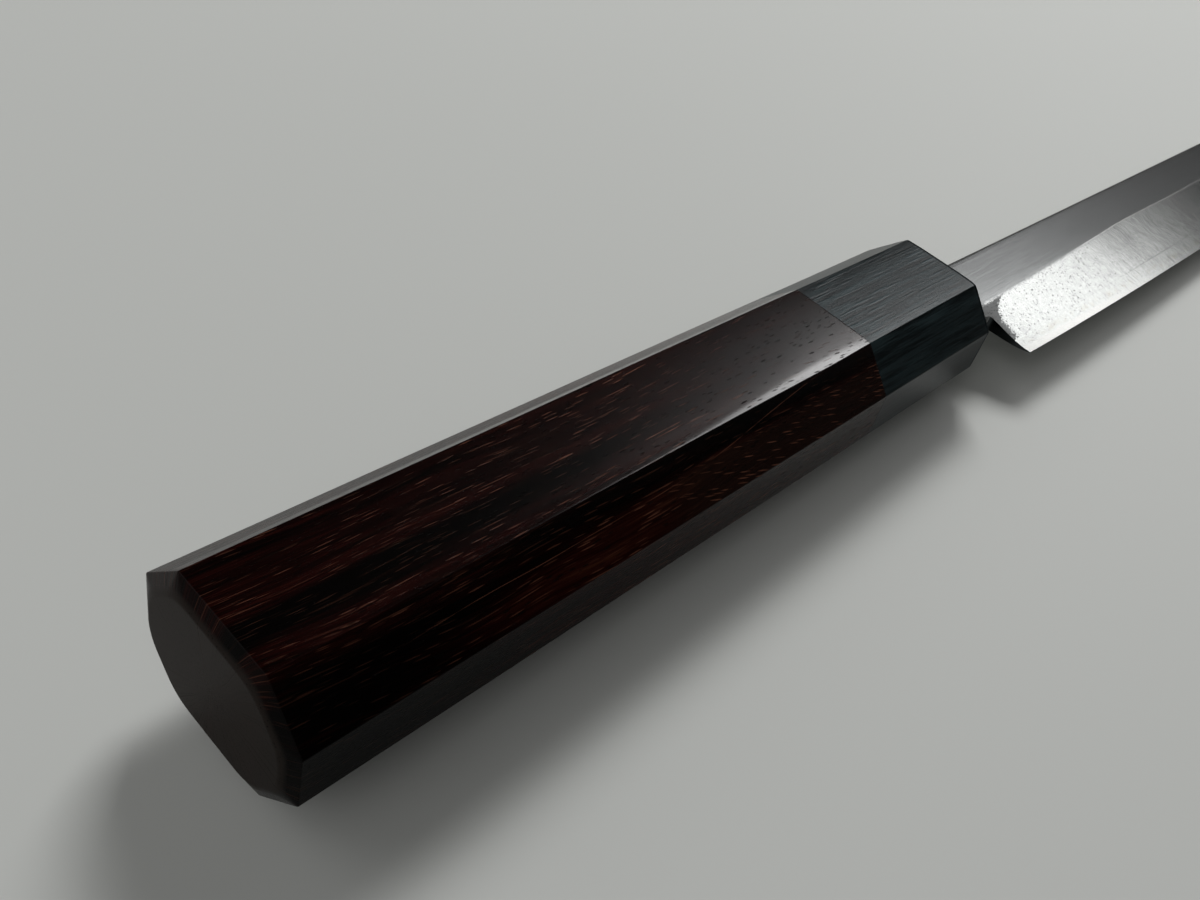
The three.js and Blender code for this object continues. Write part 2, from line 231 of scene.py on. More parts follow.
def handle_rings(x, inset):
    """Octagons with quadratic corners, flats that swell as 1 - s^4, and one worn edge."""
    x, inset = np.asarray(x, float), np.asarray(inset, float)
    fullness = between(WOOD_SWELL, HORN_SWELL, smooth(SWELL_FROM, SWELL_FULL, x))
    corner = octagon(x, inset + fullness)
    top = corner[:, TOP, 1].copy()
    worn = WORN_DEPTH * smooth(WORN_FROM, WORN_FULL, x) ** WORN_POWER
    worn = worn * (1 - (1 - WORN_LEFT) * smooth(WORN_STOP, WORN_GONE, x))
    wear_reach = between(WORN_REACH_BUTT, WORN_REACH, smooth(2 * WORN_FROM, WORN_FULL, x))
    down = corner[:, WORN + 1] - corner[:, WORN]
    corner[:, WORN] += down * (worn / -down[:, 1])[:, None]
    ahead = np.roll(corner, -1, 1) - corner
    length = np.linalg.norm(ahead, axis=-1, keepdims=True)
    ahead = ahead / length
    behind = np.roll(ahead, 1, 1)
    turn = np.arccos(np.clip((ahead * behind).sum(-1, keepdims=True), -1, 1))
    soft = (EDGE_SOFT + INSET_SOFT * inset)[:, None, None]
    limit = CORNER_LIMIT * np.minimum(length, np.roll(length, 1, 1))
    reach = np.minimum(soft * np.tan(turn / 2), limit)

    def fall(across):
        """How far the worn top lies below its plane: a cube over the last few millimetres."""
        start = corner[:, WORN, 0] + wear_reach
        return (worn / wear_reach**3)[:, None] * np.clip(start[:, None] - across, 0, None) ** 3

    enter, leave = corner - behind * reach, corner + ahead * reach
    enter[:, WORN, 0] = corner[:, WORN, 0] + reach[:, WORN, 0]
    enter[:, WORN, 1] = top - fall(enter[:, WORN, :1])[:, 0]
    leave[:, TOP, 1] = top
    curve = [part[:, :, None] for part in (enter, corner, leave)]
    arc = quadratic(CORNER_STEPS[:, None], *curve)
    s = FLAT_STEPS[:, None]
    flat = leave[:, :, None] * (1 - s) + np.roll(enter, -1, 1)[:, :, None] * s
    flat[:, TOP, :, 1] = top[:, None] - fall(flat[:, TOP, :, 0])
    outward = np.stack([ahead[..., 1], -ahead[..., 0]], -1)
    swell = fullness[:, None, None] * (length / length.max(1, keepdims=True)) ** 2
    flat = flat + (outward * swell)[:, :, None] * (1 - (2 * s - 1) ** 4)
    ring = np.concatenate([arc, flat], 2).reshape(len(x), -1, 2)
    angle = np.arctan2(ring[..., 1], ring[..., 0])
    wave = np.sin(x[:, None] / SHORT_WAVE + 2 * angle)
    wave = wave + np.sin(x[:, None] / LONG_WAVE - 3 * angle + WAVE_SHIFT)
    drawn_in = HAND_WAVE * (2 + wave) / 4 / np.linalg.norm(ring, axis=-1)
    return as_vectors(x, ring * (1 - drawn_in)[..., None])


def bend(start, corner, end, steps):
    """A row of points on the quadratic curve that rounds a corner."""
    t = np.linspace(0, 1, steps)[:, None]
    return quadratic(t, np.array(start), np.array(corner), np.array(end))


def run(start, end, rows):
    """A straight stretch of outline along the handle, without any inset."""
    return np.stack([np.linspace(start, end, rows), np.zeros(rows)], -1)


def circle_rings(x, radius):
    """Circles round the axis whose points keep the directions of the handle's own ring points."""
    ring = handle_rings(np.array([JOINT_X]), np.array([0.0]))[0, :, 1:]
    unit = ring / np.linalg.norm(ring, axis=-1, keepdims=True)
    return as_vectors(x, np.asarray(radius, float)[:, None, None] * unit)


print("points in a ring:", 8 * SIDE_POINTS)

# %% [markdown]
# The grip's butt is turned off with a narrow slope all round, and its end face is sanded soft.
# Its outline runs from the middle of the end face, over the slope, along the body to the joint,
# and back down the bore for the dowel. The bore is kept, so that the piece stays a true hollow
# part.

# %% Grip
END_SOFT, END_STEPS = 0.22, 8
RIM_SOFT, RIM_STEPS = 0.14, 6
JOINT_SOFT, JOINT_STEPS = 0.015, 4
BODY_START, JOINT_MARGIN, GRIP_ROWS = 2.2, 0.3, 84
END_REACH, END_ROWS = 0.98, 9
BORE_DEPTH = 85.15
BORE_END_X = HANDLE_LENGTH - BORE_DEPTH
slope = np.array([BUTT_CHAMFER_DEPTH, -BUTT_CHAMFER_INSET])
slope = slope / np.linalg.norm(slope)
end_corner = np.array([0.0, BUTT_CHAMFER_INSET])
rim_corner = np.array([BUTT_CHAMFER_DEPTH, 0.0])
profile = np.concatenate([
    bend(end_corner + [0, END_SOFT], end_corner, end_corner + slope * END_SOFT, END_STEPS),
    bend(rim_corner - slope * RIM_SOFT, rim_corner, rim_corner + [RIM_SOFT, 0], RIM_STEPS),
    run(BODY_START, JOINT_X - JOINT_MARGIN, GRIP_ROWS),
    bend([JOINT_X - JOINT_SOFT, 0], [JOINT_X, 0], [JOINT_X, JOINT_SOFT], JOINT_STEPS),
])
outside = handle_rings(profile[:, 0], profile[:, 1])
end_face = outside[:1] * np.linspace(0, END_REACH, END_ROWS)[:, None, None]
bore = circle_rings([JOINT_X, BORE_END_X, BORE_END_X], [BORE_RADIUS, BORE_RADIUS, 0.0])
grip = make_piece("grip_wood", "grip", np.concatenate([end_face, outside, bore]))

# %% [markdown]
# The ferrule is a cap of black horn. Its outside goes on from the grip without a step and is
# rounded over at the front. Inside are the socket for the dowel and a narrow mouth for the tang,
# so the rows of its grid run out along the horn, in through the mouth, back along the socket, and
# close.

# %% Ferrule
SLOT_CLEARANCE = 1.0
MOUTH_HALF = TANG_SIZES / 2 + SLOT_CLEARANCE
MOUTH_TAPER = TANG_LOSSES / 2 / TANG_LENGTH
JOINT_GAP = 0.01
FRONT_SOFT, FRONT_STEPS = 1.1, 14
FRONT_MARGIN, FERRULE_ROWS = 1.3, 34
FACE_START, FACE_ROWS = 0.1, 5


def mouth_rings(x):
    """Rectangles of the tang's slot, each side spread over two of the ring's eight sides."""
    x = np.asarray(x, float)
    half = MOUTH_HALF - (HANDLE_LENGTH - x)[:, None] * MOUTH_TAPER
    middle = -TANG_DROP * (1 - (HANDLE_LENGTH - x) / TANG_LENGTH)
    first = 7 * SIDE_POINTS + len(CORNER_STEPS) + len(FLAT_STEPS) // 2
    count = 8 * SIDE_POINTS
    side = ((np.arange(count) - first) % count) / (2 * SIDE_POINTS)
    step, share = side.astype(int), (side % 1)[:, None]
    signs = np.array([[1, 1], [-1, 1], [-1, -1], [1, -1], [1, 1]], float)
    unit = signs[step] * (1 - share) + signs[step + 1] * share
    ring = unit * half[:, None]
    ring[..., 0] += middle[:, None]
    return as_vectors(x, ring)


front_start = [HANDLE_LENGTH - FRONT_SOFT, 0]
front_end = [HANDLE_LENGTH, FRONT_SOFT]
socket_x = HANDLE_LENGTH - FERRULE_FRONT_WALL
horn_back = JOINT_X + JOINT_GAP
profile = np.concatenate([
    bend([horn_back, JOINT_SOFT], [horn_back, 0], [horn_back + JOINT_SOFT, 0], JOINT_STEPS),
    run(horn_back + JOINT_MARGIN, HANDLE_LENGTH - FRONT_MARGIN, FERRULE_ROWS),
    bend(front_start, [HANDLE_LENGTH, 0], front_end, FRONT_STEPS),
])
outside = handle_rings(profile[:, 0], profile[:, 1])
mouth = mouth_rings([HANDLE_LENGTH, socket_x])
face_shares = np.linspace(FACE_START, 1, FACE_ROWS)[:, None, None]
front = between(outside[-1:], mouth[:1], face_shares)
socket = circle_rings([socket_x, horn_back], [BORE_RADIUS, BORE_RADIUS])
rings = np.concatenate([outside, front, mouth[1:], socket])
ferrule = make_piece("ferrule_horn", "ferrule", rings, True)

# %% [markdown]
# The blade is forged from two layers. Soft iron makes the flat and most of the bevel, and a thin
# layer of hard steel makes the hollowed back and the edge. All sections follow from a few lines
# seen from the side: the spine, the edge, and the ridge between flat and bevel, which wavers
# because it is ground by hand on stones.

# %% Lines of the blade
SPINE_RISE = 4.13
SPINE_DROP = math.tan(math.radians(0.7))
BLADE_HEIGHT = 21.93
HEEL_LOSS = 0.6
TIP_LOSS = 21.25
FLAT_SHARE_BELLY = 8.9 / 21.95
FLAT_SHARE_HEEL = 10.6 / 21.35
NECK_HEIGHT = 12.9
NECK_LOW_Y = SPINE_RISE - NECK_HEIGHT
RUN_OUT = 7.0
EDGE_LAND = 0.15
TIP_THICKNESS = 1.3
STEEL_NECK, STEEL_TIP = 1.1, 0.5
WELD_GAP = 0.004
CHIN_LEAN = math.tan(math.radians(14))
CHIN_FILLET, FILLET_STEPS, CHIN_STEPS = 1.0, 14, 26
CHIN_BOW, BOW_PEAK = 0.42, 4 / 27
RIDGE_SOFT_HEEL, RIDGE_SOFT, SOFT_SPAN = 0.9, 0.2, (18, 52)
LONG_WAVER, LONG_WAVER_MM, LONG_WAVER_AT = 0.07, 11.2, 47
SHORT_WAVER, SHORT_WAVER_MM, SHORT_WAVER_TURN = 0.03, 5.7, 1.0
WAVER_SPAN = (2, 16)


def blade_lines(x):
    """Spine, ridge and edge, the heights of flat and weld, and how soft the ridge is, at each x."""
    seen = x - HANDLE_LENGTH
    along = np.clip(seen / (TIP_X - HANDLE_LENGTH), 0, 1)
    to_heel = (BELLY_X - x) / (BELLY_X - HEEL_X)
    to_tip = np.clip((x - BELLY_X) / (TIP_X - BELLY_X), 0, 1)
    height = BLADE_HEIGHT - np.where(x < BELLY_X, HEEL_LOSS * to_heel**2, TIP_LOSS * to_tip**3)
    share = between(FLAT_SHARE_BELLY, FLAT_SHARE_HEEL, np.clip(to_heel, 0, 1))
    waver = LONG_WAVER * np.sin((seen - LONG_WAVER_AT) / LONG_WAVER_MM)
    waver = waver + SHORT_WAVER * np.sin(seen / SHORT_WAVER_MM + SHORT_WAVER_TURN)
    flat = share * height - waver * smooth(*WAVER_SPAN, seen) * height / BLADE_HEIGHT
    neck_flat = np.maximum(flat, NECK_HEIGHT + EDGE_LAND)
    flat = between(flat, neck_flat, smooth(0, RUN_OUT, HEEL_X - x))
    spine = SPINE_RISE - SPINE_DROP * seen
    top = BACK_Z + between(NECK_THICKNESS, TIP_THICKNESS, along)
    seam = BACK_Z + between(STEEL_NECK, STEEL_TIP, along)
    soft = between(RIDGE_SOFT_HEEL, RIDGE_SOFT, smooth(*SOFT_SPAN, seen))
    return {"spine": spine, "ridge": spine - flat, "edge": spine - height, "top": top, "seam": seam,
            "height": height, "soft": soft * np.minimum(1, height / BLADE_HEIGHT)}


heel_y = float(blade_lines(np.array([HEEL_X]))["edge"][0])
chin_x = HEEL_X - CHIN_LEAN * (NECK_LOW_Y - heel_y)
fillet_end = [chin_x + CHIN_LEAN * CHIN_FILLET, NECK_LOW_Y - CHIN_FILLET]
chin = np.concatenate([
    [[HANDLE_LENGTH, NECK_LOW_Y]],
    bend([chin_x - CHIN_FILLET, NECK_LOW_Y], [chin_x, NECK_LOW_Y], fillet_end, FILLET_STEPS),
    np.linspace(fillet_end, [HEEL_X, heel_y], CHIN_STEPS)[1:],
])
share = np.clip((NECK_LOW_Y - chin[:, 1]) / (NECK_LOW_Y - heel_y), 0, 1)
chin[:, 0] -= CHIN_BOW / BOW_PEAK * share**2 * (1 - share)
print("heel at y", round(heel_y, 2), "mm, chin at x", round(chin_x, 2), "mm")

# %% [markdown]
# A section of the blade is a closed chain of four sides: up the spine, across the face, down the
# chin or the edge, and back underneath. Carried along the blade it also makes the neck and, with
# straight sides, the tang. Two marks go with every corner, how far it lies below the ridge and
# how far above the edge, because the finishes follow these lines.

# %% Chains of the blade's sections
SPINE_SOFT = 0.16
SPINE_POINTS, ROUND_POINTS, FLAT_POINTS = 4, 7, 22
BEVEL_POINTS, CHIN_POINTS, UNDER_POINTS = 38, 5, 20
FLAT_SPREAD, BEVEL_SPREAD = 0.7, 1.4


def after_start(count):
    """Even shares from 0 to 1 that leave out the start."""
    return np.linspace(0, 1, count + 1)[1:]


def inside(count):
    """Even shares from 0 to 1 that leave out both ends."""
    return np.linspace(0, 1, count + 2)[1:-1]


def level(values, count):
    """The same value for each of a side's points, one row for each section."""
    return np.repeat(values[:, None], count, 1)


def blend_points(start, end, shares):
    """Straight lines from start to end, one row for each pair, with a column for each share."""
    return np.asarray(start)[:, None] * (1 - shares) + np.asarray(end)[:, None] * shares


def face_height(lines, y):
    """The flat, then the bevel straight to the edge, with the ridge between eased by a root."""
    slope = (lines["top"] - BACK_Z - EDGE_LAND) / (lines["ridge"] - lines["edge"])
    below = lines["ridge"][:, None] - y
    eased = (below + np.sqrt(below**2 + lines["soft"][:, None] ** 2)) / 2
    return lines["top"][:, None] - slope[:, None] * eased


def chain(x, sides):
    """Joins the (across, up) sides of each section into one ring and puts it at its place."""
    across = np.concatenate([side[0] for side in sides], 1)
    up = np.concatenate([np.broadcast_to(side[1], side[0].shape) for side in sides], 1)
    return as_vectors(x, np.stack([across, up], -1))


def iron_rings(x, under, low):
    """Spine, rounded shoulder, flat, bevel, chin wall and underside of the iron."""
    lines = blade_lines(x)
    spine, top = lines["spine"], lines["top"]
    turn = np.linspace(0, 1, ROUND_POINTS)
    ridge = np.maximum(lines["ridge"], low)
    flat_y = blend_points(spine - SPINE_SOFT, ridge, after_start(FLAT_POINTS) ** FLAT_SPREAD)
    bevel_y = blend_points(ridge, low, after_start(BEVEL_POINTS) ** BEVEL_SPREAD)
    soft = np.minimum(SPINE_SOFT, (top - under) / 2)[:, None]
    side = blend_points(under, top - soft[:, 0], np.linspace(0, 1, SPINE_POINTS))
    wall = blend_points(face_height(lines, low[:, None])[:, 0], under, after_start(CHIN_POINTS))
    return chain(x, [
        (level(spine, SPINE_POINTS), side),
        (spine[:, None] - SPINE_SOFT * turn**2, top[:, None] - soft * (1 - turn) ** 2),
        (flat_y, face_height(lines, flat_y)),
        (bevel_y, face_height(lines, bevel_y)),
        (level(low, CHIN_POINTS), wall),
        (blend_points(low, spine, inside(UNDER_POINTS)), under[:, None]),
    ])


def marks_of(rings):
    """For each corner: how far it lies below the ridge, and above the edge, in millimetres."""
    lines = blade_lines(rings[:, 0, 0])
    return {
        "below_ridge": lines["ridge"][:, None] - rings[..., 1],
        "above_edge": rings[..., 1] - lines["edge"][:, None],
    }


# %% [markdown]
# The iron layer starts as a stick tang inside the handle, steps out to the neck, and becomes the
# flat and the bevel. Its sections stand closer together at the chin and towards the tip. The
# lower limit of a section is the chin's outline at the heel, and the weld with the steel
# everywhere else.

# %% Iron layer of the blade
STEEL_START_X = HANDLE_LENGTH + 1.5
IRON_START_X = HANDLE_LENGTH + 0.15
TANG_END_X = HANDLE_LENGTH - TANG_LENGTH
NECK_ROWS, NECK_STEPS, BODY_STEPS = 4, 8, 230


def low_line(x, lines, height):
    """The chin's outline, or the bevel at a given height where that is higher up the blade."""
    share = (height - BACK_Z - EDGE_LAND) / (lines["top"] - BACK_Z - EDGE_LAND)
    on_bevel = lines["edge"] + share * (lines["ridge"] - lines["edge"])
    behind = np.interp(x, chin[:, 0], chin[:, 1])
    return np.where(x < HEEL_X, np.maximum(behind, on_bevel), on_bevel)


def stations(start):
    """Places of the sections: along the chin, then along the body, closer towards the tip."""
    neck = np.linspace(start, chin[1, 0], NECK_STEPS)[:-1]
    body = HEEL_X + (TIP_X - HEEL_X) * np.sin(np.linspace(0, np.pi / 2, BODY_STEPS))
    return np.concatenate([neck, chin[1:-1, 0], body])


def tang_rings(x):
    """Rectangles that taper to the tang's end, with as many points a side as the blade has."""
    along = (HANDLE_LENGTH - x) / TANG_LENGTH
    half_height, half_thick = (TANG_SIZES - along[:, None] * TANG_LOSSES).T / 2
    middle = -TANG_DROP * (1 - along)
    high, low = middle + half_height, middle - half_height
    rise = np.linspace(0, 1, SPINE_POINTS + ROUND_POINTS)
    return chain(x, [
        (level(high, len(rise)), blend_points(-half_thick, half_thick, rise)),
        (blend_points(high, low, after_start(FLAT_POINTS + BEVEL_POINTS)), half_thick[:, None]),
        (level(low, CHIN_POINTS), blend_points(half_thick, -half_thick, after_start(CHIN_POINTS))),
        (blend_points(low, high, inside(UNDER_POINTS)), -half_thick[:, None]),
    ])


def closed_ends(rings):
    """Adds a row at each end whose points all meet in the middle of the end section."""
    first = np.broadcast_to(rings[:1].mean(1, keepdims=True), rings[:1].shape)
    last = np.broadcast_to(rings[-1:].mean(1, keepdims=True), rings[-1:].shape)
    return np.concatenate([first, rings, last])


seam_x = STEEL_START_X - WELD_GAP
neck_x = np.linspace(IRON_START_X, seam_x, NECK_ROWS)
neck = iron_rings(neck_x, np.full(NECK_ROWS, BACK_Z), np.full(NECK_ROWS, NECK_LOW_Y))
body_x = stations(seam_x)
lines = blade_lines(body_x)
body = iron_rings(body_x, lines["seam"], low_line(body_x, lines, lines["seam"]))
tang = tang_rings(np.array([TANG_END_X, (TANG_END_X + IRON_START_X) / 2, IRON_START_X]))
iron = closed_ends(np.concatenate([tang, neck, body]))
blade_iron = make_piece("blade_iron_layer", "blade_iron", iron, marks=marks_of(iron))

# %% [markdown]
# The steel layer lies under the iron from the neck to the tip. Its back is ground hollow between
# two flat rims, so that only the rims touch the stone, and its edge shows below the iron on the
# bevel.

# %% Steel layer of the blade
HOLLOW_DEPTH, HOLLOW_POWER = 0.35, 1.5
HOLLOW_RIM, RIM_LIMIT = 1.7, 0.25
BACK_POINTS, EDGE_POINTS, COVER_POINTS = 44, 12, 8
SPINE_SHARES, EDGE_SHARES = np.array([0, 0.4, 0.8]), np.array([0.35, 0.7, 1.0])


def steel_rings(x):
    """Down the spine, across the back, up the edge or chin and the bevel, and under the iron."""
    lines = blade_lines(x)
    spine, seam, height = lines["spine"], lines["seam"] - WELD_GAP, lines["height"]
    low = low_line(x, lines, np.full(len(x), BACK_Z + EDGE_LAND))
    rim = np.minimum(HOLLOW_RIM, RIM_LIMIT * height)
    back_y = blend_points(spine, low, np.linspace(0, 1, BACK_POINTS))
    share = (spine - rim)[:, None] - back_y
    share = np.clip(share / (height - 2 * rim)[:, None], 0, 1)
    depth = (HOLLOW_DEPTH * height / BLADE_HEIGHT)[:, None]
    hollow = BACK_Z + depth * np.sin(np.pi * share) ** HOLLOW_POWER
    edge_top = np.minimum(face_height(lines, low[:, None])[:, 0], seam)
    weld_y = np.maximum(low_line(x, lines, seam), low)
    bevel_y = blend_points(low, weld_y, after_start(EDGE_POINTS))
    bevel_z = np.minimum(face_height(lines, bevel_y), seam[:, None])
    spine_z = blend_points(seam, np.full(len(x), BACK_Z), SPINE_SHARES)
    return chain(x, [
        (level(spine, len(SPINE_SHARES)), spine_z),
        (back_y, hollow),
        (level(low, len(EDGE_SHARES)), blend_points(hollow[:, -1], edge_top, EDGE_SHARES)),
        (bevel_y, bevel_z),
        (blend_points(weld_y, spine, inside(COVER_POINTS)), seam[:, None]),
    ])


steel = closed_ends(steel_rings(stations(STEEL_START_X)))
blade_steel = make_piece("blade_steel_layer", "blade_edge_steel", steel,
                         marks=marks_of(steel))

# %% [markdown]
# Finishes are written as sums. A small class wraps a socket, so that adding or multiplying two
# values adds the Math node that does it, and one method makes any other node. All patterns are
# measured in millimetres along the knife, which a Mapping node works out from the object's own
# coordinates. A dull skin is a second shader mixed over the first.

# %% Shader sums
def fill(node, values):
    """Fills sockets by name, or by number for a key like at_2: links values and sets numbers."""
    for key, value in values.items():
        place = node.inputs[int(key[3:]) if key.startswith("at_") else key.replace("_", " ")]
        if isinstance(value, Socket):
            value.tree.links.new(value.link, place)
        else:
            place.default_value = value


class Socket:
    """A value in a material's node tree that Python expressions can work with."""

    def __init__(self, tree, link=None):
        self.tree = tree
        self.link = link

    def node(self, kind, settings=None, out=0, **values):
        """Adds a node, makes its settings, fills its sockets and gives one of its outputs."""
        made = self.tree.nodes.new(kind)
        for key, value in (settings or {}).items():
            if key == "stops":
                ramp = made.color_ramp.elements
                for place, _ in value[1:-1]:
                    ramp.new(place)
                for stop, (place, colour) in zip(ramp, sorted(value)):
                    stop.position = place
                    stop.color = (*colour, 1.0)
            else:
                setattr(made, key, value)
        fill(made, values)
        return Socket(self.tree, made.outputs[out])

    def math(self, operation, *others):
        """A Math node of this value and others."""
        inputs = {f"at_{i}": value for i, value in enumerate((self, *others))}
        return self.node("ShaderNodeMath", {"operation": operation}, **inputs)

    def __add__(self, other):
        return self.math("ADD", other)

    def __sub__(self, other):
        return self.math("SUBTRACT", other)

    def __rsub__(self, other):
        return self.node("ShaderNodeMath", {"operation": "SUBTRACT"}, at_0=other, at_1=self)

    def __mul__(self, other):
        return self.math("MULTIPLY", other)

    def __truediv__(self, other):
        return self.math("DIVIDE", other)

    def __pow__(self, other):
        return self.math("POWER", other)

    __radd__ = __add__
    __rmul__ = __mul__

    def step(self, low, high):
        """0 below low, 1 above high, smooth between; with low above high it runs the other way."""
        return self.node("ShaderNodeMapRange", {"interpolation_type": "SMOOTHSTEP"},
                         Value=self, From_Min=low, From_Max=high)

    def mix(self, first, second):
        """The first colour where this value is 0, the second where it is 1."""
        first, second = ((*c, 1.0) if isinstance(c, tuple) else c for c in (first, second))
        colours = {"at_0": self, "at_6": first, "at_7": second}
        return self.node("ShaderNodeMix", {"data_type": "RGBA"}, 2, **colours)


def mapped(place, **values):
    """Coordinates scaled, turned and moved."""
    return place.node("ShaderNodeMapping", {"vector_type": "POINT"}, Vector=place, **values)


def new_finish(name):
    """A new material, its shader and the straight millimetre coordinates."""
    material = bpy.data.materials.new(name)
    material.use_nodes = True
    shader = material.node_tree.nodes["Principled BSDF"]
    own = Socket(material.node_tree).node("ShaderNodeTexCoord", out=3)
    home = turn_to_rest(knife_place / MM, -rest_tilt)
    place = mapped(own, Location=tuple(-home), Rotation=(0, -rest_tilt, 0), Scale=(1 / MM,) * 3)
    return material, shader, place


def stretched(place, along, across, shift=0.0):
    """Coordinates scaled along and across the knife, so that a pattern runs in streaks."""
    return mapped(place, Location=(shift,) * 3, Scale=(along, across, across))


def parts(place):
    """The x, y and z of a place as three values."""
    return [place.node("ShaderNodeSeparateXYZ", out=i, Vector=place) for i in range(3)]


BAND_CORE = 0.25
CELL_TURN = (0.5, 0.35, 0.65)
CELL_SPREAD = 1.6


def band(value, half):
    """1 where a value is near zero, falling smoothly to 0 at half the band's width."""
    return value.math("ABSOLUTE").step(half, BAND_CORE * half)


def dashes(place, along, across, shift, share, wide=0.44, fine=0.2):
    """Short marks: cores of stretched cells, turned off their columns, strong in a share of them."""
    turned = mapped(place, Location=(shift,) * 3, Rotation=CELL_TURN, Scale=(along, across, across))
    cells = {"Vector": turned, "Scale": 1.0}
    core = place.node("ShaderNodeTexVoronoi", {"feature": "F1"}, 0, **cells).step(wide, fine)
    shade = place.node("ShaderNodeTexVoronoi", {"feature": "F1"}, 1, **cells)
    strength = place.node("ShaderNodeSeparateColor", Color=shade)
    return core * strength.step(1 - CELL_SPREAD * share, 1.0)


def noise(vector, detail=2.0, roughness=0.5, distortion=0.0):
    """A cloudy pattern about 0.5 whose size is that of the coordinates."""
    return vector.node("ShaderNodeTexNoise", Vector=vector, Scale=1.0, Detail=detail,
                       Roughness=roughness, Distortion=distortion)


def connect(shader, base, rough, height, bump_mm):
    """Feeds colour, roughness and a bump of a given depth into a shader's own sockets."""
    bump = base.node("ShaderNodeBump", Height=height, Distance=bump_mm * MM, Strength=1.0)
    fill(shader, {"Base Color": base, "Roughness": rough, "Normal": bump})


def dull_over(under, share, colour):
    """Lays a dull skin over a finish where the share is 1."""
    skin = share.node("ShaderNodeBsdfDiffuse", Color=(*colour, 1.0))
    return share.node("ShaderNodeMixShader", Fac=share, at_1=under, at_2=skin)


def show(finish):
    """Makes a finish the one that its material shows."""
    fill(finish.tree.nodes["Material Output"], {"Surface": finish})


def dress(piece, material):
    """Gives a piece its finish."""
    piece.data.materials.append(material)
    print(piece.name, "wears", material.name, "of", len(material.node_tree.nodes), "nodes")


# %% [markdown]
# Rosewood is nearly black, with red and brown bands along the grain. Filled pores show as short
# pale dashes, open ones as dark dashes, or as dots on the sawn end. This handle also has black
# bands of heartwood, a near side where the dashes slant, and one pale thread. The polish is a
# clear coat, thickest where the palm has rubbed. Shade is painted into the colour as well: the
# wood darkens towards the butt, and more so low on the near side.

# %% Rosewood
WOOD_TONES = [
    (0.26, (0.0006, 0.0003, 0.0002)),
    (0.42, (0.0042, 0.0007, 0.0005)),
    (0.53, (0.0100, 0.0014, 0.0010)),
    (0.64, (0.0175, 0.0036, 0.0021)),
    (0.78, (0.0340, 0.0105, 0.0050)),
]
WOOD_PORE = (0.110, 0.044, 0.027)
WOOD_BROWN = (0.0080, 0.0050, 0.0036)
WOOD_END = (0.0185, 0.0145, 0.0122)
WOOD_IOR, COAT_IOR, COAT_ROUGH, WOOD_BUMP = 1.12, 1.65, 0.19, 0.01
GRAIN_LEAN, SLANT_LEAN = 0.028, 0.2
GRAIN_SWAY, HEART_SWAY = 5.0, 3.0
SKIN_RADIUS, SEAM_TURN = 10.0, math.radians(-36)
FAN_FROM, FAN_RATE = 45.0, 0.0006
TOP_FACE, HEART_TOP, NEAR_SLOPE = (8.4, 9.5), (8.5, 9.6), (-6.5, -8.0)
THREAD_Z, THREAD_CLIMB, THREAD_HALF = 7.2, 2.6, 0.06


def unrolled(place, lean, sway):
    """The skin laid flat: x, and the angle about the axis times a radius, with leaning fibres."""
    x, y, z = parts(mapped(place, Rotation=(SEAM_TURN, 0, 0)))
    across = (y.math("ARCTAN2", z) + SEAM_TURN) * SKIN_RADIUS
    return place.node("ShaderNodeCombineXYZ", X=x, Y=across + x * lean + sway)


def heart_streaks(place, drift):
    """Black heartwood bands, less a paler one on the slope and a red one on top; painted shade low
    by the butt.
    """
    x, y, z = parts(place)
    top, near = z.step(*HEART_TOP), y.step(*NEAR_SLOPE)
    sway = (drift - 0.5) * HEART_SWAY
    middle = band(y + 2.9 + sway, 2.4) * x.step(78.0, 35.0) * top
    paler = band(z - 6.4 + sway, 2.2) * near * x.step(16.0, 30.0) * x.step(70.0, 52.0)
    # Painted shade: darker low on the near side towards the butt.
    low = y.step(-8.0, -10.5) * x.step(42.0, 8.0)
    shoulder = band(z - 8.9 + sway, 1.7) * near * x.step(22.0, 42.0)
    red = band(y + 0.6 + sway, 1.4) * x.step(90.0, 60.0) * top
    return (middle - 0.35 * paler) * 0.24 + low * 0.25 + shoulder * 0.16 - red * 0.09


def resin_line(place, drift):
    """One pale thread on the near slope that runs along and then climbs to the worn edge."""
    x, y, z = parts(place)
    climb = THREAD_Z + x.step(52.0, 90.0) * THREAD_CLIMB + (drift - 0.5) * HEART_SWAY
    ends = x.step(14.0, 24.0) * x.step(94.0, 84.0)
    return band(z - climb, THREAD_HALF) * y.step(*NEAR_SLOPE) * ends


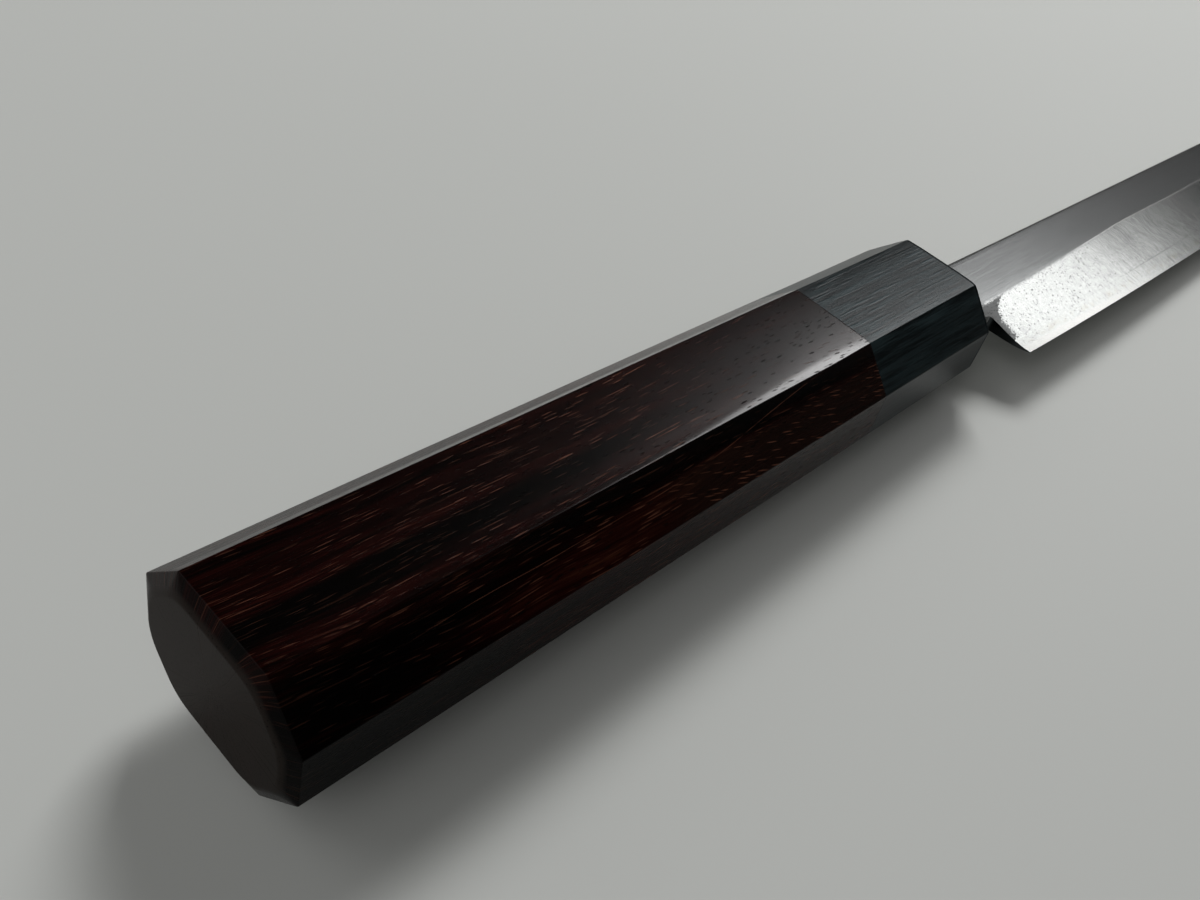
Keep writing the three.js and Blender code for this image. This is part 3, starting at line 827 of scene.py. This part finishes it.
def rosewood():
    """Ground tones by bands and fibres, pores and thread over them, and a coat of polish."""
    material, shader, place = new_finish("rosewood")
    x, y, z = parts(place)
    drift = noise(stretched(place, 0.016, 0.05, 3.0), 2.0)
    fan = (x - FAN_FROM).math("MAXIMUM", 0.0) ** 2.0 * FAN_RATE * y.step(-9.0, 2.0)
    grain = unrolled(place, GRAIN_LEAN, (drift - 0.5) * GRAIN_SWAY - fan)
    zones = noise(stretched(grain, 0.011, 0.21, 1.0), 2.0, 0.5)
    streaks = noise(stretched(grain, 0.020, 1.15, 7.0), 3.0, 0.6)
    fibres = noise(stretched(grain, 0.08, 3.4, 4.0), 4.0, 0.7)
    body = x.step(0.12, 0.5)
    top = z.step(*TOP_FACE)
    # Painted shade: the wood and its pale dashes grow darker towards the butt, as if less light fell
    # there.
    painted_light_front = x.step(5.0, 70.0)
    handled = top * x.step(55.0, 98.0)
    slant = x.step(50.0, 64.0) * y.step(-9.2, -10.0) * z.step(2.0, 4.0)
    tone = (0.28 * zones + 0.34 * streaks + 0.38 * fibres - 0.5) * 1.7 + 0.43 + painted_light_front * 0.06
    tone = tone - heart_streaks(place, drift) - handled * 0.1 + slant * 0.05
    ground = tone.node("ShaderNodeValToRGB", {"stops": WOOD_TONES}, Fac=tone)
    ground = (slant * (0.35 + 0.5 * zones)).mix(ground, WOOD_BROWN)
    short = dashes(grain, 0.30, 6.6, 2.0, 0.24) * (1 - slant)
    short = short + dashes(unrolled(place, SLANT_LEAN, 0.0), 0.34, 5.6, 8.0, 0.26) * slant
    long = dashes(grain, 0.12, 5.6, 6.0, 0.16) * (1 - slant)
    open_pores = dashes(grain, 0.55, 4.2, 11.0, 0.4)
    end_pores = dashes(place, 0.3, 3.6, 2.0, 0.5)
    filled = (short * 0.9 + long * 0.8) * (0.3 + 0.7 * tone.step(0.3, 0.5))
    filled = filled * (0.6 + 0.4 * painted_light_front) * (1 - handled * 0.8)
    thread = resin_line(place, drift) * fibres.step(0.38, 0.6) * 0.7
    base = (filled * body).mix(ground, WOOD_PORE)
    base = (open_pores * 0.8 * body).mix(base, WOOD_TONES[0][1])
    base = thread.mix(base, WOOD_PORE)
    base = ((1 - body) * 0.8).mix(base, WOOD_END)
    base = (end_pores * (1 - body) * 0.9).mix(base, WOOD_TONES[0][1])
    holes = (open_pores + short * 0.5).math("MINIMUM", 1.0)
    rough = 0.23 + 0.08 * fibres + 0.1 * holes + 0.16 * (1 - body)
    rubbed = 0.84 + y.step(-5.4, -6.4) * (x.step(66.0, 98.0) * 0.45 - 0.39)
    polish = top * x.step(-30.0, 75.0) * x.step(1.0, 2.0) * rubbed
    polish = polish + (1 - top) * x.step(40.0, 110.0) * 0.4
    coat = (1 - holes * 0.9) * polish * body
    fill(shader, {"IOR": WOOD_IOR, "Coat IOR": COAT_IOR, "Coat Roughness": COAT_ROUGH,
                  "Coat Weight": coat})
    connect(shader, base, rough, fibres * 0.4 - holes * 0.8 + streaks * 0.2, WOOD_BUMP)
    return material


dress(grip, rosewood())

# %% [markdown]
# Buffalo horn is made of hair-like fibres that run along the horn. Polished, it is black with
# faint grey streaks and fine lines, and its top is scratched from the last sanding. Its rounded
# front edge is covered by a dull dark skin, which is painted shade.

# %% Horn
HORN_BLACK = (0.0010, 0.0028, 0.0034)
HORN_GREY = (0.025, 0.044, 0.049)
HORN_FRONT_SHADE = (0.010, 0.013, 0.014)
HORN_IOR, HORN_BUMP = 1.315, 0.05
FRONT_SHADE_FROM, FRONT_SHADE_FULL = HANDLE_LENGTH - 1.35, HANDLE_LENGTH - 0.95


def horn():
    """Black with grey lines and scratches along the horn, and painted shade on the front edge."""
    material, shader, place = new_finish("horn")
    streaks = noise(stretched(place, 0.03, 0.8, 5.0), 4.0, 0.65)
    lines = noise(stretched(place, 0.06, 2.0, 15.0), 4.0, 0.75)
    fibres = noise(stretched(place, 0.14, 5.0, 9.0), 3.0, 0.65)
    cloud = noise(stretched(place, 0.12, 0.25, 2.0), 2.0)
    x, y, z = parts(place)
    scratches = dashes(place, 0.12, 2.2, 7.0, 0.6, 0.5, 0.2) * z.step(8.0, 9.0)
    grey = streaks.step(0.42, 0.68) * (0.3 + 0.7 * cloud.step(0.35, 0.65)) * 0.4
    grey = grey + lines.step(0.44, 0.56) * 0.5
    grey = grey * (0.65 + 0.35 * z.step(7.5, 9.0)) + scratches * 0.5
    grey = grey * (0.2 + 0.65 * y.step(8.0, 2.0))
    base = grey.mix(HORN_BLACK, HORN_GREY)
    rough = 0.20 + 0.12 * lines + 0.06 * streaks + 0.04 * fibres
    height = lines * 0.8 + streaks * 0.3 + fibres * 0.2 + scratches * 0.3
    fill(shader, {"IOR": HORN_IOR})
    connect(shader, base, rough, height, HORN_BUMP)
    # Painted shade: a dull dark skin over the rounded front edge.
    front_shade = x.step(FRONT_SHADE_FROM, FRONT_SHADE_FULL) * 0.95
    show(dull_over(Socket(x.tree, shader.outputs[0]), front_shade, HORN_FRONT_SHADE))
    return material


dress(ferrule, horn())

# %% [markdown]
# The flat of the blade is a brushed satin, and the bevel below the ridge is ground on stones
# until it is bright and misty. Old pits stay where the stone has not reached, thick near the
# heel. A dull patch of the forged skin is left at the neck. A highlight is painted along the
# ridge, and shade is painted as a thin dark line along the spine and on the chin wall. Stones
# mark iron and steel alike, so one function makes those marks.

# %% Iron
IRON_FLAT = (0.215, 0.22, 0.22)
IRON_BEVEL = (0.48, 0.49, 0.48)
IRON_SCALE = (0.20, 0.204, 0.204)
# Dull grey for the pits, and also for the painted shade of the spine line.
IRON_PITS_AND_SHADE = (0.08, 0.08, 0.077)
IRON_SKIN = (0.15, 0.155, 0.155)
# Painted shade, for the dark line along the spine and the chin wall.
IRON_PAINTED_SHADE = (0.030, 0.034, 0.035)
RIDGE_HIGHLIGHT = (0.75, 0.75, 0.73)
SPINE_AT_ZERO = SPINE_RISE + SPINE_DROP * HANDLE_LENGTH
PATCH_WIDTH, PATCH_FALL, PATCH_TOP = 4.6, 1.5, -6.9
NEAR_HEEL = (HEEL_X + 70, HEEL_X + 4)
RIDGE_HIGHLIGHT_SPAN = (HEEL_X + 28, HEEL_X + 44)
STROKE_TURN, STROKE_SCALE = math.radians(20), (3.4, 0.3, 1.0)
STONE_BUMP = 0.006


def attribute(place, name):
    """A mark that the mesh carries at its corners."""
    return place.node("ShaderNodeAttribute", {"attribute_name": name}, 2)


def chin_wall_shade(place):
    """Where shade is painted: 1 on the faces that look back at the ferrule, 0 elsewhere."""
    facing = place.node("ShaderNodeNewGeometry", out=3)
    return place.node("ShaderNodeSeparateXYZ", Vector=facing).step(-0.45, -0.65)


def stone_work(place):
    """How near the heel is, and the grit, blots, leaning strokes and specks that stones leave."""
    near = parts(place)[0].step(*NEAR_HEEL)
    grit = noise(stretched(place, 3.5, 3.5, 1.0), 3.0, 0.65)
    mottle = noise(stretched(place, 1.6, 1.6, 12.0), 4.0, 0.7, 0.6)
    strokes = noise(mapped(place, Rotation=(0, 0, STROKE_TURN), Scale=STROKE_SCALE), 3.0, 0.6)
    specks = dashes(place, 1.7, 2.2, 9.0, 0.36, 0.40, 0.15) * mottle.step(0.3, 0.55)
    return near, grit, mottle, strokes, specks


def stone_shade(tone, where, near, mottle, strokes):
    """Darkens a tone in blots, more of them near the heel, and along the strokes, fewer there."""
    tone = (mottle.step(0.46, 0.72) * (0.12 + 0.08 * near) * where).mix(tone, IRON_SKIN)
    return (strokes.step(0.42, 0.68) * (0.38 - 0.28 * near) * where).mix(tone, IRON_SKIN)


def ground_iron():
    """Satin above the ridge, mist below, dull pits and patch, a painted ridge highlight, painted
    spine and chin shade.
    """
    material, shader, place = new_finish("ground iron")
    x, y = parts(place)[:2]
    below = attribute(place, "below_ridge")
    near, grit, mottle, strokes, specks = stone_work(place)
    waver = noise(stretched(place, 0.8, 0.8, 3.0), 3.0, 0.6)
    brush = noise(stretched(place, 0.12, 3.0, 8.0), 3.0, 0.6)
    mist = (waver - 0.5) * (0.25 + 0.9 * near) + (grit - 0.5) * 1.6 * near
    bevel = (below + mist).step(-0.35, 0.45)
    pits = dashes(place, 1.0, 1.3, 5.0, 0.3, 0.30, 0.12) * 0.8
    pits = (pits + specks) * (0.35 + 0.65 * near) * bevel
    reach = ((y - PATCH_TOP) / PATCH_FALL).math("EXPONENT") * PATCH_WIDTH
    ragged = (waver - 0.5) * 2.0 + (mottle - 0.5) * 3.6 + (grit - 0.5) * 4.5
    dots = dashes(place, 2.0, 2.6, 4.0, 0.5, 0.5, 0.2)
    patch = (x - HEEL_X - reach + ragged).step(0.05, -0.35)
    patch = patch * (y + ragged * 0.15).step(PATCH_TOP + 0.5, PATCH_TOP - 0.1)
    # Painted highlight: a bright line along the ridge between flat and bevel.
    ridge_highlight = below.step(-0.22, -0.05) * below.step(0.16, 0.0) * x.step(*RIDGE_HIGHLIGHT_SPAN)
    # Painted shade: a thin dark line along the spine's edge.
    spine_shade_line = (SPINE_AT_ZERO - x * SPINE_DROP - y).step(0.55, 0.2)
    # Painted shade: the chin wall is darkened where it faces the ferrule.
    wall = chin_wall_shade(place)
    tone = bevel.mix((brush.step(0.38, 0.66) * 0.5).mix(IRON_FLAT, IRON_SKIN), IRON_BEVEL)
    tone = (ridge_highlight * (0.4 + 0.6 * grit)).mix(tone, RIDGE_HIGHLIGHT)
    tone = stone_shade(tone, bevel, near, mottle, strokes)
    tone = (pits * 0.5).mix(tone, IRON_PITS_AND_SHADE)
    tone = ((waver - 0.5) * 0.4 + (grit - 0.5) * 0.35 + 0.08).mix(tone, IRON_SKIN)
    tone = (spine_shade_line * 0.95).mix(tone, IRON_PAINTED_SHADE)
    tone = wall.mix(tone, IRON_PAINTED_SHADE)
    rough = 0.22 + 0.03 * grit - bevel * 0.07 + pits * 0.15
    height = bevel * strokes * 0.3 + (1 - bevel) * brush * 0.6 + grit * 0.15 - pits * 0.4
    fill(shader, {"Metallic": 1.0})
    connect(shader, tone, rough, height, STONE_BUMP)
    clear = 1 - wall
    skin = dull_over(Socket(x.tree, shader.outputs[0]), patch * 0.97 * clear, IRON_SCALE)
    # The pits and the patch's dots are real; the spine line in this mix is painted shade.
    dark = (pits * 0.55 + dots * patch + spine_shade_line * 0.85).math("MINIMUM", 0.85)
    show(dull_over(skin, dark * clear, IRON_PITS_AND_SHADE))
    return material


dress(blade_iron, ground_iron())

# %% [markdown]
# The steel takes a finer polish than the iron. The last strokes on the stone leave a bright strip
# along the very edge near the heel, and the weld above it shows as a faint warm line.

# %% Steel
STEEL_TONE = (0.455, 0.465, 0.455)
STEEL_BRIGHT = (0.465, 0.465, 0.452)
WELD_WARM = (0.38, 0.36, 0.30)
STRIP_SPAN = (HEEL_X + 58, HEEL_X + 22)


def edge_steel():
    """Stone-ground steel with a bright strip along the edge, a warm weld line, dull specks and
    painted chin shade.
    """
    material, shader, place = new_finish("edge steel")
    x = parts(place)[0]
    near, grit, mottle, strokes, specks = stone_work(place)
    waver = noise(stretched(place, 0.5, 0.5, 2.0), 3.0, 0.6)
    height = attribute(place, "above_edge") + (waver - 0.5) * 0.7 - near * 0.5
    strip = height.step(0.95, 0.6) * x.step(*STRIP_SPAN)
    weld = height.step(0.8, 1.3) * height.step(2.6, 1.6) * waver.step(0.42, 0.7)
    # Painted shade: the chin wall is darkened where it faces the ferrule.
    wall = chin_wall_shade(place)
    tone = strip.mix(STEEL_TONE, STEEL_BRIGHT)
    tone = (weld * 0.4).mix(tone, WELD_WARM)
    tone = stone_shade(tone, 1 - strip, near, mottle, strokes)
    tone = wall.mix(tone, IRON_PAINTED_SHADE)
    rough = 0.15 + 0.03 * grit + 0.02 * strip
    fill(shader, {"Metallic": 1.0})
    connect(shader, tone, rough, strokes * 0.3 + grit * 0.15, STONE_BUMP)
    spotted = specks * (0.3 + 0.25 * near) * (1 - strip) * (1 - wall)
    show(dull_over(Socket(x.tree, shader.outputs[0]), spotted, IRON_PITS_AND_SHADE))
    return material


dress(blade_steel, edge_steel())

# %% [markdown]
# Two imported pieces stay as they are: the plain hardwood dowel inside the handle, and the dark
# resin that bonds the tang, of which a rim shows in the ferrule's mouth.

# %% Dowel and resin
DOWEL_PALE, DOWEL_DARK = (0.62, 0.45, 0.26), (0.5, 0.33, 0.17)
RESIN_DARK, RESIN_PALE = (0.012, 0.010, 0.008), (0.04, 0.033, 0.026)
INNER_BUMP = 0.03


def dowel_wood():
    """Pale and darker bands along the dowel, with fine fibres."""
    material, shader, place = new_finish("plain hardwood")
    rings = noise(stretched(place, 0.02, 1.1, 2.0), 2.0)
    fibres = noise(stretched(place, 0.1, 6.0, 5.0), 3.0, 0.6)
    base = rings.step(0.35, 0.65).mix(DOWEL_DARK, DOWEL_PALE)
    connect(shader, base, 0.6 + 0.15 * fibres, fibres, INNER_BUMP)
    return material


def cured_resin():
    """Nearly black, with a fine uneven grain."""
    material, shader, place = new_finish("cured resin")
    grain = noise(stretched(place, 3.0, 3.0, 4.0), 3.0, 0.6)
    base = grain.mix(RESIN_DARK, RESIN_PALE)
    connect(shader, base, 0.45 + 0.25 * grain, grain, INNER_BUMP)
    return material


for node, finish in (("dowel", dowel_wood), ("tang_filler", cured_resin)):
    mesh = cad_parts[node].data
    mesh.materials.clear()
    mesh.materials.append(finish())
    print(node, "keeps its solid and gets", mesh.materials[0].name)

# %% [markdown]
# The table is a plain pale sheet. Two panels beyond the tip light only what shines, a fill and a
# side lamp only what is dull, and a back lamp both. The sky is dark ahead and pale behind. What
# shines sees it paler behind and overhead, and the camera alone sees a pale backdrop and a glow
# on the far table.

# %% Table, lamps and sky
TABLE_TONE = (0.54, 0.55, 0.53)
TABLE_SIDE = 8.0
LAMP_AIM = (-0.033, 0.0, 0.0)
LAMPS = {
    "low panel": ((0.626, 0.029, 0.360), (0.413, 0.125), 0.357, math.radians(5.5), "diffuse"),
    "high panel": ((0.499, 0.065, 0.523), (0.362, 0.228), 1.69, 0.0, "diffuse"),
    "back lamp": ((-0.9, 1.0, 1.2), (1.0, 1.0), 3.0, 0.0, None),
    "fill lamp": ((0.58, 0.54, 0.88), (0.4, 0.4), 11.4, 0.0, "glossy"),
    "side lamp": ((-1.1, -0.19, 0.85), (0.8, 0.8), 3.0, 0.0, "glossy"),
}
SKY_COLOUR = (1.0, 1.0, 0.98, 1.0)
SKY_DARK, SKY_BEHIND, SKY_SHINE, SKY_SEEN = 0.012, 0.2, 0.4, 0.42
TABLE_NEAR, TABLE_FAR, TABLE_LIFT = 400.0, 1500.0, 0.36
TABLE_CLOUD, TABLE_SHADE, TABLE_ROUGH = 0.004, 0.9, 0.65


def pale_table():
    """A plain tone with a faint cloud, and a glow far off that only the camera sees."""
    material, shader, place = new_finish("pale table")
    cloud = noise(stretched(place, TABLE_CLOUD, TABLE_CLOUD), 2.0)
    x, y = parts(place)[:2]
    far = (x**2.0 + y**2.0).math("SQRT").step(TABLE_NEAR, TABLE_FAR)
    seen = place.node("ShaderNodeLightPath", out="Is Camera Ray")
    glow = (far * seen).mix((0.0, 0.0, 0.0), (TABLE_LIFT,) * 3)
    tone = (cloud * 0.3).mix(TABLE_TONE, tuple(TABLE_SHADE * part for part in TABLE_TONE))
    fill(shader, {"Base Color": tone, "Roughness": TABLE_ROUGH, "Emission Color": glow,
                  "Emission Strength": 1.0})
    return material


half = TABLE_SIDE / 2
sheet = bpy.data.meshes.new("table")
corners = [(-half, -half, 0), (half, -half, 0), (half, half, 0), (-half, half, 0)]
sheet.from_pydata(corners, [], [(0, 1, 2, 3)])
sheet.materials.append(pale_table())
table = bpy.data.objects.new("table", sheet)
bpy.context.scene.collection.objects.link(table)


def soft_lamp(name, place, size, watts, turn, unlit):
    """A flat lamp of a given width and height that looks at the knife and may leave rays unlit."""
    data = bpy.data.lights.new(name, "AREA")
    data.energy = watts
    data.shape = "RECTANGLE"
    data.size, data.size_y = size
    lamp = bpy.data.objects.new(name, data)
    lamp.location = place
    towards = (Vector(LAMP_AIM) - Vector(place)).to_track_quat("-Z", "Y")
    lamp.rotation_euler = (towards @ Quaternion((0, 0, 1), turn)).to_euler()
    lamp.visible_diffuse = unlit != "diffuse"
    lamp.visible_glossy = unlit != "glossy"
    bpy.context.scene.collection.objects.link(lamp)


for name, settings in LAMPS.items():
    soft_lamp(name, *settings)

sky = bpy.data.worlds.new("sky")
bpy.context.scene.world = sky
sky.use_nodes = True
start = Socket(sky.node_tree)
ahead, _, up = parts(start.node("ShaderNodeTexCoord"))
seen = start.node("ShaderNodeLightPath", out="Is Camera Ray")
glossy = start.node("ShaderNodeLightPath", out="Is Glossy Ray")
shine = ahead.step(0.2, 0.05).math("MAXIMUM", up.step(0.88, 0.97)) * SKY_SHINE
strength = SKY_DARK + ahead.step(0.3, -0.5) * SKY_BEHIND + glossy * shine + seen * SKY_SEEN
fill(sky.node_tree.nodes["Background"], {"Strength": strength, "Color": SKY_COLOUR})
print("lamps in watts:", {name: settings[2] for name, settings in LAMPS.items()})

# %% [markdown]
# The camera stands behind the butt, above and to the right of the handle, and is held with a
# slight turn about its own axis. The far end of the blade runs out of the picture.

# %% Camera
CAMERA_PLACE = (-0.213139, -0.061781, 0.123665)
CAMERA_AIM = (-0.105958, 0.014104, 0.0)
CAMERA_ROLL = math.radians(15.22)
CAMERA_LENS, SENSOR_WIDTH, CLIP_START = 36.39, 36.0, 0.005
camera_data = bpy.data.cameras.new("camera")
camera_data.sensor_fit = "HORIZONTAL"
camera_data.sensor_width = SENSOR_WIDTH
camera_data.lens = CAMERA_LENS
camera_data.clip_start = CLIP_START
camera = bpy.data.objects.new("camera", camera_data)
level = (Vector(CAMERA_AIM) - Vector(CAMERA_PLACE)).to_track_quat("-Z", "Y")
camera.rotation_euler = (level @ Quaternion((0, 0, 1), CAMERA_ROLL)).to_euler()
camera.location = CAMERA_PLACE
bpy.context.scene.collection.objects.link(camera)
bpy.context.scene.camera = camera
bpy.context.scene.view_settings.view_transform = "Standard"
print("camera looks along", [round(v, 4) for v in level @ Vector((0, 0, -1))])
